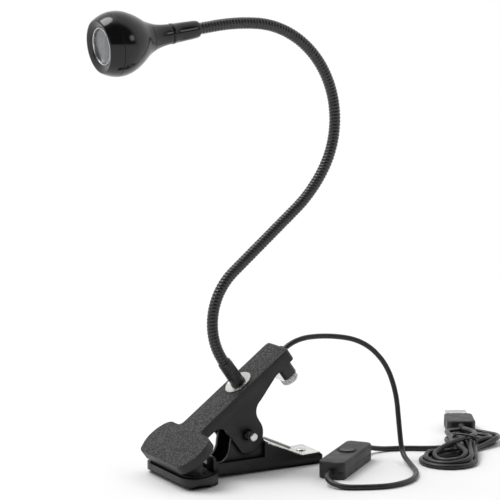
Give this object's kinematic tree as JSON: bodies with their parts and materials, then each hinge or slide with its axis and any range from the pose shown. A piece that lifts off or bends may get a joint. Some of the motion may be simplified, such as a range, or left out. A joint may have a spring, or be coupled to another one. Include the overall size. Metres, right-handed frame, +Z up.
{
  "type": "uv curing lamp",
  "caption": "Spring clip with half-moon jaws, ribbed gooseneck and ball-shaped lens head; USB cord with in-line push switch, tied in a figure-of-eight hank.",
  "frame": {"origin": "on the floor under the middle of the lamp's bounding box, cord left out", "axes": "+Z up, +X from the jaws to the handles, Y across the clip along its pivot pin"},
  "size_m": [0.2499, 0.1061, 0.2406],
  "materials": {
    "clip_plastic": "satin moulded black with a fine mottled grain on the top faces",
    "jaw_rubber": "matt ribbed rubber",
    "plate_steel": "bright nickel-plated sheet",
    "fastener_steel": "nickel-plated, lightly scuffed",
    "spring_steel": "drawn spring wire",
    "neck_black": "ribbed steel hose with black semi-gloss coating",
    "sleeve_black": "shrink sleeve with faint rings",
    "head_gloss": "piano-black gloss",
    "bezel_metal": "satin ring",
    "lens_glass": "clear domed lens",
    "reflector_metal": "satin metallised cup",
    "board_white": "white-coated aluminium core board",
    "led_dome": "clear dome over a pale yellow die",
    "sink_metal": "turned aluminium",
    "block_black": "satin moulded black",
    "cord_black": "satin black PVC",
    "switch_plastic": "fine-grained satin black",
    "plug_black": "satin overmoulded PVC",
    "tie_black": "plastic-coated wire tie",
    "usb_metal": "nickel-plated folded sheet",
    "usb_plastic": "black moulded tongue",
    "contact_metal": "gold-flashed contacts"
  },
  "bodies": {
    "lower_clip": {"lower_jaw": "clip_plastic", "lower_jaw_pad": "jaw_rubber", "handle_plate": "plate_steel", "plate_rivet": "fastener_steel", "pivot_pin": "fastener_steel", "pin_rings": "fastener_steel", "torsion_spring": "spring_steel", "cord_drop": "cord_black", "cord_loop": "cord_black", "switch_bottom_shell": "switch_plastic", "switch_top_shell": "switch_plastic", "switch_mechanism": "block_black", "switch_screws": "fastener_steel", "cord_tail": "cord_black", "cord_hank": "cord_black", "twist_tie": "tie_black", "plug_strain_relief": "cord_black", "plug_overmould": "plug_black", "usb_shell": "usb_metal", "usb_insulator": "usb_plastic", "usb_contacts": "contact_metal"},
    "upper_clip": {"upper_jaw": "clip_plastic", "upper_jaw_pad": "jaw_rubber", "neck_washer": "fastener_steel", "neck_sleeve": "sleeve_black", "neck_lock_nut": "fastener_steel", "cord_block": "block_black", "thumb_nut": "fastener_steel", "clamp_strap": "plate_steel", "cord_grommet": "jaw_rubber", "neck_foot": "neck_black"},
    "neck_1": {"neck_section_1": "neck_black"},
    "neck_2": {"neck_section_2": "neck_black"},
    "neck_3": {"neck_section_3": "neck_black"},
    "neck_4": {"neck_section_4": "neck_black"},
    "neck_5": {"neck_section_5": "neck_black"},
    "head": {"neck_tip": "neck_black", "head_collar": "head_gloss", "head_cone": "head_gloss", "head_rear_shell": "head_gloss", "head_front_shell": "head_gloss", "lens_ring": "bezel_metal", "lens": "lens_glass", "reflector": "reflector_metal", "led_board": "board_white", "led_emitter": "led_dome", "heat_sink": "sink_metal", "board_screws": "fastener_steel"},
    "button": {"switch_button": "switch_plastic"}
  },
  "joints": [
    {"name": "clip_pivot", "type": "hinge", "parent": "lower_clip", "child": "upper_clip", "pos_m": [0.00865, 0, 0.0215], "axis": [0, 1, 0], "range_deg": [0, 38], "stiffness_Nm_per_rad": 0.35, "springref_deg": -25.78, "deforming": ["torsion_spring", "cord_drop"]},
    {"name": "neck_bend_1", "type": "hinge", "parent": "upper_clip", "child": "neck_1", "pos_m": [-0.00534, 0, 0.08661], "axis": [0, 1, 0], "range_deg": [-20, 20]},
    {"name": "neck_swing_2", "type": "hinge", "parent": "neck_1", "child": "neck_2", "pos_m": [0.02595, 0, 0.12154], "axis": [-0.6293, 0, 0.7771], "range_deg": [-20, 20]},
    {"name": "neck_bend_3", "type": "hinge", "parent": "neck_2", "child": "neck_3", "pos_m": [0.0569, 0, 0.14972], "axis": [0, 1, 0], "range_deg": [-20, 20]},
    {"name": "neck_swing_4", "type": "hinge", "parent": "neck_3", "child": "neck_4", "pos_m": [0.06792, 0, 0.18525], "axis": [-0.9979, 0, -0.0652], "range_deg": [-20, 20]},
    {"name": "neck_bend_5", "type": "hinge", "parent": "neck_4", "child": "neck_5", "pos_m": [0.05077, 0, 0.22027], "axis": [0, 1, 0], "range_deg": [-20, 20]},
    {"name": "neck_swing_6", "type": "hinge", "parent": "neck_5", "child": "head", "pos_m": [0.01396, 0, 0.23333], "axis": [-0.0147, 0, -0.9999], "range_deg": [-20, 20]},
    {"name": "button_push", "type": "slide", "parent": "lower_clip", "child": "button", "axis": [0, 0, -1], "range_m": [0, 0.0015], "stiffness_N_per_m": 400, "springref_m": -0.0005}
  ]
}
